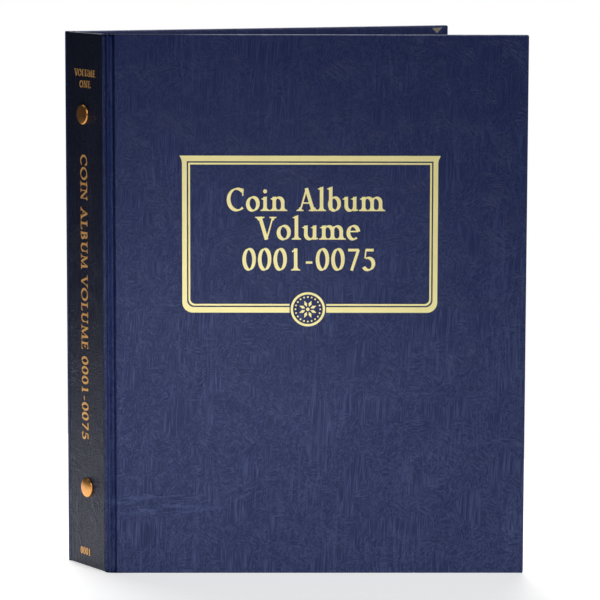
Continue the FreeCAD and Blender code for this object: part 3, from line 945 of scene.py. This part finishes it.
def rule_path(left, right, top, low, radius):
    """Points of a rule from beside the badge, round the panel and back to it."""
    gap = BADGE_RADIUS + 0.5
    path = [(BADGE_MIDDLE.x - gap, low)]
    path += arc(left + radius, low + radius, radius, radius, 270, 180, 8)
    path += [(left, top), (right, top)]
    path += arc(right - radius, low + radius, radius, radius, 0, -90, 8)
    return path + [(BADGE_MIDDLE.x + gap, low)]


def rule_between(outer, inner):
    """Quads between the two sides of a rule."""
    return [[a, b, d, c] for a, b, c, d in zip(outer, outer[1:], inner, inner[1:])]


def hook(x, side):
    """The small curved tip at an upper corner."""
    reach, drop, root = 1.1, 3.2, x - side * 0.5
    curve = [
        (x + side * reach * (1 - s) ** 2, PANEL_TOP - 0.25 - drop * s) for s in (0, 0.12, 0.3, 0.55, 1)
    ]
    return [[(root, PANEL_TOP), (x + side * reach, PANEL_TOP), *curve, (root, PANEL_TOP - drop)]]


def rule_at(side, flat, radius):
    """One side of a rule, so far inside the panel's upright and flat sides."""
    return rule_path(
        PANEL_LEFT + side, PANEL_RIGHT - side, PANEL_TOP - flat, PANEL_FOOT + flat, radius
    )


side_in, flat_in = RULE_UPRIGHT + RULE_GAP, RULE_FLAT + RULE_GAP
heavy = rule_between(rule_at(0, 0, 4.8), rule_at(RULE_UPRIGHT, RULE_FLAT, 3.2))
fine = rule_between(
    rule_at(side_in, flat_in, 2.9), rule_at(side_in + FINE_RULE, flat_in + FINE_RULE, 2.3)
)
hooks = hook(PANEL_LEFT, -1) + hook(PANEL_RIGHT, 1)
foil("front_panel_rules", heavy + fine + hooks, front_place, GOLD, "front_cover")


# %% The badge and the title
def ring(centre, inner, outer, count=64):
    """Quads of a flat ring."""
    rim = circle(1.0, count)
    return [
        [centre + a * outer, centre + b * outer, centre + b * inner, centre + a * inner]
        for a, b in zip(rim, rim[1:] + rim[:1])
    ]


def disc(centre, radius, count=10):
    """A small round spot."""
    return [[centre + p for p in circle(radius, count)]]


def badge():
    """A plain coin: a milled rim, a ring of beads, and a rosette of eight petals."""
    shapes = ring(BADGE_MIDDLE, 6.9, BADGE_RADIUS)
    for bead in circle(5.75, 20):
        shapes += disc(BADGE_MIDDLE + bead, 0.42)
    for run in circle(1.0, 8, 0.5):
        side = Vector((-run.y, run.x)) * 0.72
        petal = [run * 1.3, run * 2.6 + side, run * 4.3, run * 2.6 - side]
        shapes.append([BADGE_MIDDLE + p for p in petal])
    return shapes + disc(BADGE_MIDDLE, 0.8, 14)


def lettering(lines):
    """The shapes of several lines: each a text, its centre, base, height and width."""
    return [shape for line in lines for shape in write(*line)]


TITLE = (
    ("Coin Album", 91.4, 170.7, 10.6, 73.0),
    ("Volume", 92.8, 157.4, 10.6, 47.5),
    ("0001-0075", 93.2, 143.0, 10.4, 62.0),
)
foil("front_badge", badge(), front_place, GOLD, "front_cover")
foil("front_title", lettering(TITLE), front_place, GOLD, "front_cover")

# %% The lettering of the spine
SPINE_TITLE_MIDDLE = 128.0
SPINE_TITLE = (("COIN ALBUM VOLUME 0001-0075", -SPINE_TITLE_MIDDLE, -4.1, 5.6, 135.0),)
SPINE_SMALL_LINES = (
    ("VOLUME", 0.2, 231.8, 3.2, 18.0),
    ("ONE", 0.2, 226.6, 3.2, 9.5),
    ("0001", -1.8, 5.4, 3.4, 9.0),
)
spine_middle = Vector((SPINE_FACE * MM, 0, 0))
to_front, outwards = Vector((0, -1, 0)), Vector((-1, 0, 0))
reading_down = place(spine_middle, -UP, to_front, outwards)
reading_level = place(spine_middle, to_front, UP, outwards)
downwards, level = lettering(SPINE_TITLE), lettering(SPINE_SMALL_LINES)
foil("spine_title", downwards, reading_down, GOLD_FOIL_PAINTED_SHADE, "spine")
foil("spine_small_lines", level, reading_level, GOLD_FOIL_PAINTED_SHADE, "spine")

# %% [markdown]
# ## Rivets
#
# Two domed brass rivets clamp the binding's bracket to the spine. A rivet is turned, so one is
# made by spinning its half outline, and Geometry Nodes set it on the two places.


# %% One rivet, and the tree that repeats it
RIVET_RADIUS = 4.65
RIVET_HEIGHT = -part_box("spine_rivets")[0].x / MM + SPINE_FACE
RIVET_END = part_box("spine_rivets")[1].x / MM - SPINE_FACE


def turned(name, profile, count=56):
    """A closed solid of revolution about the local z axis, from (radius, height) points."""
    points = [Vector((0, 0, profile[0][1]))]
    for radius, height in profile[1:-1]:
        points += [p.to_3d() + Vector((0, 0, height)) for p in circle(radius, count)]
    points.append(Vector((0, 0, profile[-1][1])))
    last = len(points) - 1
    top = last - count
    faces = [(0, 1 + i, 1 + (i + 1) % count) for i in range(count)]
    faces += grid(len(profile) - 2, count, first=1)
    faces += [(last, top + (i + 1) % count, top + i) for i in range(count)]
    return piece(name, points, faces)


DOME_STEPS = (0, 0.2, 0.4, 0.55, 0.68, 0.78, 0.86)
dome = [(RIVET_RADIUS * s, RIVET_HEIGHT * (1 - 0.45 * s * s)) for s in DOME_STEPS]
rim_width = RIVET_RADIUS * 0.12
rim_height = RIVET_HEIGHT * 0.65
dome += [
    (RIVET_RADIUS - rim_width + rim_width * math.sin(a), 0.1 + (rim_height - 0.1) * math.cos(a))
    for a in (math.pi / 2 * i / 9 for i in range(9))
]
profile = dome + [(RIVET_RADIUS, 0.12), (RIVET_RADIUS - 0.12, 0.0), (1.6, 0.0)]
# the shank and its clenched end, up from the end
clench = ((1.6, 0.9), (2.5, 0.9), (2.7, 0.7), (2.7, 0.25), (2.4, 0), (0, 0))
profile += [(radius, -RIVET_END + height) for radius, height in clench]
rivet = turned("rivet pattern", [(r * MM, h * MM) for r, h in profile])


def repeat_tree():
    """Sets a pattern piece on every point of the modified mesh, and makes it real."""
    inputs = (("Pattern", "Object", None), ("Turn", "Vector", None))
    tree, start = new_tree("pieces on points", inputs)
    pattern = node(tree, "GeometryNodeObjectInfo", {"Object": start.outputs["Pattern"]})
    turn = node(tree, "FunctionNodeEulerToRotation", {0: start.outputs["Turn"]})
    given = {
        "Points": start.outputs[0],
        "Instance": pattern.outputs["Geometry"],
        "Rotation": turn.outputs[0],
    }
    copies = node(tree, "GeometryNodeInstanceOnPoints", given)
    return end_tree(tree, start, copies.outputs[0])


REPEAT = repeat_tree()


def repeat(name, pattern, points, turn, material):
    """Copies of a pattern at points, as one plain mesh. The pattern itself is removed."""
    mesh = bpy.data.meshes.new(name)
    mesh.from_pydata(points, [], [])
    given = {"Pattern": pattern, "Turn": turn, "Finish": material}
    made = run_tree(link(name, mesh), REPEAT, given)
    bpy.data.objects.remove(pattern)
    return made


low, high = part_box("spine_rivets")
reach = RIVET_RADIUS * MM
centres = [
    (SPINE_FACE * MM, low.y + reach, low.z + reach),
    (SPINE_FACE * MM, high.y - reach, high.z - reach),
]
# the pattern's z axis is turned to point out of the spine, along -x
rivets = repeat("spine_rivet_pair", rivet, centres, (0, -math.pi / 2, 0), BRASS)
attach(rivets, "spine")
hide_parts("spine_rivets")
print(rivets.name, triangles(rivets), "triangles")

# %% [markdown]
# ## Endpapers
#
# A sheet of strong coloured paper lines each cover. It is glued over the turned-in cloth, so the
# cloth's edge shows through it as a low step all round. The sheet is a fine grid whose height is
# worked out from that step, and Solidify gives it its thickness.


# %% Paper and board materials
def paper(name, base, fibre, flake_mm, depth_mm, roughness=0.75, contrast=0.35):
    """Paper or board: matt, with pale and dark fibres. flake_mm is the fibres' size."""
    material, tree, shader = new_material(name, {"Roughness": roughness, "IOR": 1.45})
    spot = node(tree, "ShaderNodeTexCoord").outputs["Object"]
    inputs = {0: spot, 1: [1 / (flake_mm * MM)] * 3}
    scaled = node(tree, "ShaderNodeVectorMath", inputs, operation="MULTIPLY").outputs[0]
    inputs = {"Vector": scaled, "Scale": 1.0, "Detail": 4.0}
    fine = node(tree, "ShaderNodeTexNoise", inputs).outputs[0]
    inputs = {"Vector": scaled, "Scale": 0.06, "Detail": 2.0}
    cloud = node(tree, "ShaderNodeTexNoise", inputs).outputs[0]
    both = times(tree, times(tree, fine, 0.7), times(tree, cloud, 0.3), operation="ADD")
    inputs = {"Value": both, 1: 0.38, 2: 0.62, 3: 0.0, 4: contrast}
    factor = node(tree, "ShaderNodeMapRange", inputs).outputs[0]
    surface(tree, shader, factor, (base, fibre), fine, depth_mm)
    return material


ENDPAPER = paper("endpaper, navy kraft", "#1c2540", "#2c3656", 0.5, 0.02, 0.62)
GREYBOARD = paper("grey board, raw", "#8d857a", "#a89f92", 0.7, 0.05)
PAGE_BOARD = paper("page board, cream", "#d8cfb8", "#e9e2cf", 0.6, 0.03)
PAGE_SHEET = paper("page sheet, printed blue", "#27365f", "#34456f", 0.4, 0.015, 0.5, 0.3)
SILVER_INK = paper("silver ink on paper", "#b9bec9", "#d5d8de", 0.5, 0.005, 0.42)
print("papers:", ", ".join(m.name for m in (ENDPAPER, GREYBOARD, PAGE_BOARD, PAGE_SHEET, SILVER_INK)))


# %% The endpapers
STEP_HALF = 1.2  # half the width of the step over the edge of the turned-in cloth


def smooth(value):
    """0 to 1 with soft ends."""
    value = min(1.0, max(0.0, value))
    return value * value * (3 - 2 * value)


def with_step(start, edge, spacing):
    """Even places from a start to an edge's step, and close places over that step."""
    places = steps(start, edge - STEP_HALF, spacing)
    return places + steps(edge - STEP_HALF, edge + STEP_HALF, 0.4)


def endpaper(side):
    """The lining of one cover, with the step that the turned-in cloth makes."""
    leaf = leaves[side]
    (start, stop), _ = leaf.span(f"{side}_endpaper")
    (_, cloth_end), (cloth_inner, _) = leaf.span(f"{side}_cover_cloth")
    low, high = (corner.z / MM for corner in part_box(f"{side}_endpaper"))
    fold, head = cloth_end - TURN_IN, CASE_HEIGHT - TURN_IN
    columns = with_step(start, fold, 6.0) + steps(fold + STEP_HALF, stop, 4.0) + [stop]
    rows = with_step(low, TURN_IN, 4.0) + with_step(TURN_IN + STEP_HALF, head, 6.0)
    rows += steps(head + STEP_HALF, high, 4.0) + [high]

    def sunk(u, z):
        """0 over the turned-in cloth and 1 inside it."""
        return 1 - max(smooth(edge / 1.6 + 0.5) for edge in (u - fold, TURN_IN - z, z - head))

    points = [
        leaf.world(u, cloth_inner - 0.3 + WINDOW_SINK * sunk(u, z), z) for z in rows for u in columns
    ]
    faces = grid(len(rows), len(columns), closed=False)
    made = piece(f"{side}_lining_sheet", points, faces, ENDPAPER)
    if made.data.polygons[0].normal.dot(leaf.out) > 0:
        made.data.flip_normals()
    thick = made.modifiers.new("thickness", "SOLIDIFY")
    thick.thickness = 0.28 * MM
    thick.offset = -1.0
    bake(made)
    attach(made, f"{side}_cover")
    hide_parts(f"{side}_endpaper")
    print(made.name, triangles(made), "triangles")


for side in leaves:
    endpaper(side)


# %% [markdown]
# At the two fore corners the turned-in flaps meet in a mitre. The flaps don't quite touch, and a
# sliver of board shows between them.


# %% Mitres at the fore corners
def mitres(side):
    """The slivers of board between the turned-in flaps of one cover."""
    leaf = leaves[side]
    (_, end), (inner, _) = leaf.span(f"{side}_cover_cloth")
    shapes = []
    for z, up in ((0.0, 1), (CASE_HEIGHT, -1)):
        corner = [(end - 3.2, z + up * 0.9), (end - 8.6, z + up * 1.3), (end - 6.0, z + up * 3.8)]
        shapes.append([Vector(p) for p in corner])
    where = place(leaf.world(0, inner, 0), leaf.along, UP, -leaf.out)
    foil(f"{side}_mitre_gaps", shapes, where, GREYBOARD, f"{side}_cover", 0.03, 0.1)


for side in leaves:
    mitres(side)

# %% [markdown]
# ## Pages
#
# A page is a sandwich: a board with the coin openings, a printed sheet on each face with wider
# windows, and five clear slides on each face. Those are the designed parts and keep their shape.
# Around each window the sheet carries a fine printed ring, set out by Geometry Nodes, and below
# it the number of its coin.

# %% Where the windows are
PAGES, ROWS, COLUMNS = 3, 5, 5
RING_INNER, RING_OUTER = 13.5, 13.9
LABEL_DROP, LABEL_HEIGHT = 18.6, 3.2
mounts = {mount["name"]: mount for mount in frame["record"]["mounts"]}
pages = {}
for number in range(1, PAGES + 1):
    middle = Vector(mounts[f"page_{number}_coin_opening"]["pos_m"])
    pages[number] = (Leaf(f"page_{number}_hinge", middle, 1), middle)
sheet_face = pages[1][0].span("page_1_front_sheet")[1][1]
ROW_PITCH = (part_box("page_1_front_slide_1")[0].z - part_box("page_1_front_slide_2")[0].z) / MM
COLUMN_PITCH = 30.8
print("rows", round(ROW_PITCH, 2), "mm apart, printed face", round(sheet_face, 2), "mm from the middle")


# %% Printed rings and numbers
def flat_ring(name, inner, outer, thickness, count=48):
    """A thin closed ring about the local z axis."""
    corners = ((inner, 0), (outer, 0), (outer, thickness), (inner, thickness))
    points = [(p.x, p.y, height) for radius, height in corners for p in circle(radius, count)]
    faces = grid(4, count)
    faces += [(3 * count + i, 3 * count + (i + 1) % count, (i + 1) % count, i) for i in range(count)]
    return piece(name, points, faces, smooth=False)



def window_spots():
    """Places of a page's windows about the middle one, with their numbers in reading order."""
    spots = []
    for row in range(ROWS):
        for column in range(COLUMNS):
            x = (column - (COLUMNS - 1) / 2) * COLUMN_PITCH
            y = ((ROWS - 1) / 2 - row) * ROW_PITCH
            spots.append((row * COLUMNS + column + 1, x, y))
    return spots


def print_page(number, face, out):
    """The rings and numbers on one face of a page."""
    leaf, middle = pages[number]
    right = leaf.along if out == 1 else -leaf.along
    where = place(middle + leaf.out * (out * sheet_face * MM), right, UP, leaf.out * out)
    pattern = flat_ring("ring pattern", RING_INNER, RING_OUTER, 0.03)
    spots = [(x, y, 0) for _, x, y in window_spots()]
    rings = repeat(f"page_{number}_{face}_rings", pattern, spots, (0, 0, 0), SILVER_INK)
    rings.data.transform(where)
    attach(rings, f"page_{number}")
    shapes = []
    for index, x, y in window_spots():
        coin = (number - 1) * ROWS * COLUMNS + index
        shapes += write(str(coin), x, y - LABEL_DROP, LABEL_HEIGHT)
    name, body = f"page_{number}_{face}_numbers", f"page_{number}"
    foil(name, shapes, where, SILVER_INK, body, 0.03, 0.02)


for number in pages:
    print_page(number, "front", 1)
    print_page(number, "back", -1)


# %% [markdown]
# ### The cloth that hinges a page
#
# A strip of woven tape joins a page's board to its binding strip and bends when the page is
# turned. It is one thin closed section, bent at the hinge line.


# %% Woven tape
def tape_material():
    """Plain-woven book tape: threads 0.5 mm apart, drawn a little coarse so that they show."""
    material, tree, shader = new_material("book tape, woven", {"Roughness": 0.85})
    cloth = node(tree, "ShaderNodeAttribute", attribute_name="cloth_mm").outputs["Vector"]
    threads = []
    for direction in ("X", "Y"):
        wave = node(
            tree,
            "ShaderNodeTexWave",
            {"Vector": cloth, "Scale": math.tau / 20 / 0.5, "Distortion": 0.4, "Detail": 1.0},
            bands_direction=direction,
        )
        threads.append(wave.outputs["Fac"])
    weave = times(tree, *threads)
    surface(tree, shader, weave, ("#12182b", "#33405f"), weave, 0.1)
    return material


TAPE = tape_material()
TAPE_HALF = 0.25
for number, (leaf, _) in pages.items():
    strip_low, strip_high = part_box(f"page_{number}_binding_strip")
    anchor = Vector(leaf.local((strip_high.x, leaf.hinge.y, 0)))
    board_start = leaf.span(f"page_{number}_core")[0][0]
    # the tape is a little slack and bows to the front, so that the next page's edge can pass it
    bow = anchor * 0.45 + Vector((0, 1.1))
    line = bezier(anchor, bow, (board_start * 0.35, 2.4), (board_start, 0), 16)
    line.append(Vector((board_start, 0)))
    normals = outline_normals(line, closed=False)
    outline = [(p + n * TAPE_HALF, 0.0, False) for p, n in zip(line, normals)]
    outline += [(p - n * TAPE_HALF, 0.0, False) for p, n in reversed(list(zip(line, normals)))]
    lift = strip_low.z / MM
    levels = [(lift + z, 0.0) for z in steps(0, (strip_high.z - strip_low.z) / MM, 6.0)]
    levels.append((strip_high.z / MM, 0.0))
    tape = wrap(f"page_{number}_tape", outline, leaf.world, levels, never, 3.0 * number)
    tape.data.materials.append(TAPE)
    leaf.world(-1.2, 0, 0)
    leaf.world(1.2, 0, 0)
    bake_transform(tape)
    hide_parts(f"page_{number}_hinge_cloth")
    print(tape.name, triangles(tape), "triangles")


# %% [markdown]
# ### Clear slides
#
# The slides are cellulose acetate, 0.3 mm thick: clear with a faint haze and fine scuffs from
# being pulled in and out.


# %% Acetate
def acetate():
    """Clear cellulose acetate, cast: glossy, and lightly scuffed along the way it slides."""
    # a film this thin doesn't bend what is seen through it, so light passes straight through
    constants = {"Base Color": colour("#f4f8fa"), "IOR": 1.48, "Alpha": 0.22}
    material, tree, shader = new_material("cellulose acetate, clear", constants)
    spot = node(tree, "ShaderNodeTexCoord").outputs["Object"]
    scaled = node(tree, "ShaderNodeMapping", {"Vector": spot, "Scale": (60, 60, 2500)}).outputs[0]
    inputs = {"Vector": scaled, "Scale": 1.0, "Detail": 3.0}
    scuffs = node(tree, "ShaderNodeTexNoise", inputs).outputs[0]
    rough = node(tree, "ShaderNodeMapRange", {"Value": scuffs, 1: 0.55, 2: 0.8, 3: 0.04, 4: 0.22})
    tree.links.new(rough.outputs[0], shader.inputs["Roughness"])
    return material


ACETATE = acetate()
print("slides:", ACETATE.name)

# %% Finish the designed parts that stay in view
FINISHES = {
    "_cover_board": GREYBOARD,
    "spine_board": GREYBOARD,
    "spine_lining": ENDPAPER,
    "post_bracket": STEEL,
    "lock_bar": STEEL,
    "binding_posts": POST_METAL,
    "_core": PAGE_BOARD,
    "_binding_strip": PAGE_BOARD,
    "_sheet": PAGE_SHEET,
    "_slide_": ACETATE,
}
finished = 0
for name, part in nodes.items():
    for words, material in FINISHES.items():
        if words in name:
            part.data.materials.clear()
            part.data.materials.append(material)
            finished += 1
            break
print(finished, "designed parts finished;", sum(part.hide_render for part in nodes.values()), "replaced")

# %% [markdown]
# ## The studio
#
# The album stands on a lit white table. One softbox stands above and behind it, one high in
# front, and a small gridded one low on the left grazes the spine's foot. The room beyond is dark.
# The table's reflection brightens the lower part of the satin cloth and leaves the upper part
# deep. The camera has a long lens and looks slightly down.


# %% Table, lights and camera
def table_material():
    """A back-lit acrylic table: white and even."""
    constants = {
        "Base Color": colour("#f2f2f2"),
        "Roughness": 0.6,
        "Emission Color": (1, 1, 1, 1),
        "Emission Strength": 0.5,
    }
    return new_material("acrylic, opal", constants)[0]


def softbox(name, where, target, size, power):
    """A rectangular area light that faces a target."""
    light = bpy.data.lights.new(name, "AREA")
    light.shape = "RECTANGLE"
    light.size, light.size_y = size
    light.energy = power
    lamp = link(name, light)
    lamp.location = where
    lamp.visible_camera = False
    lamp.rotation_euler = (Vector(target) - Vector(where)).to_track_quat("-Z", "Y").to_euler()
    return lamp


TABLE_RADIUS = 0.36
rim = [(p.x, p.y, 0) for p in circle(TABLE_RADIUS, 96)]
table = link("table", bpy.data.meshes.new("table"))
table.data.from_pydata(rim, [], [tuple(range(96))])
table.data.materials.append(table_material())

softbox("above and behind", (0.35, 0.55, 1.15), (0.1, 0.0, 0.1), (0.8, 0.8), 16)
softbox("front", (0.1, -1.5, 1.2), (0.08, -0.08, 0.12), (0.8, 0.8), 15.0)
side = softbox("front left, gridded", (-0.25, -0.45, 0.02), (0.02, -0.05, 0.08), (0.15, 0.15), 0.042)
side.data.spread = math.radians(40)

world = bpy.data.worlds.new("dark studio")
bpy.context.scene.world = world
world.use_nodes = True
tree = world.node_tree
tree.nodes.clear()
seen = node(tree, "ShaderNodeLightPath").outputs["Is Camera Ray"]
room = node(tree, "ShaderNodeBackground", {"Color": colour("#ffffff"), "Strength": 0.05})
paper_white = node(tree, "ShaderNodeBackground", {"Color": colour("#ffffff"), "Strength": 1.0})
both = node(tree, "ShaderNodeMixShader", {0: seen, 1: room.outputs[0], 2: paper_white.outputs[0]})
node(tree, "ShaderNodeOutputWorld", {0: both.outputs[0]})

camera = link("camera", bpy.data.cameras.new("camera"))
YAW, PITCH, ROLL = (math.radians(a) for a in (35.48, 7.584, 0.133))
camera.location = (-0.7652, -1.2440, 0.3213)
turn = Matrix.Rotation(-YAW, 3, "Z") @ Matrix.Rotation(math.pi / 2 - PITCH, 3, "X")
camera.rotation_euler = (turn @ Matrix.Rotation(ROLL, 3, "Z")).to_euler()
camera.data.lens = 188.3
camera.data.sensor_width = 36.0
bpy.context.scene.camera = camera
bpy.context.scene.view_settings.view_transform = "Standard"
print("studio ready")
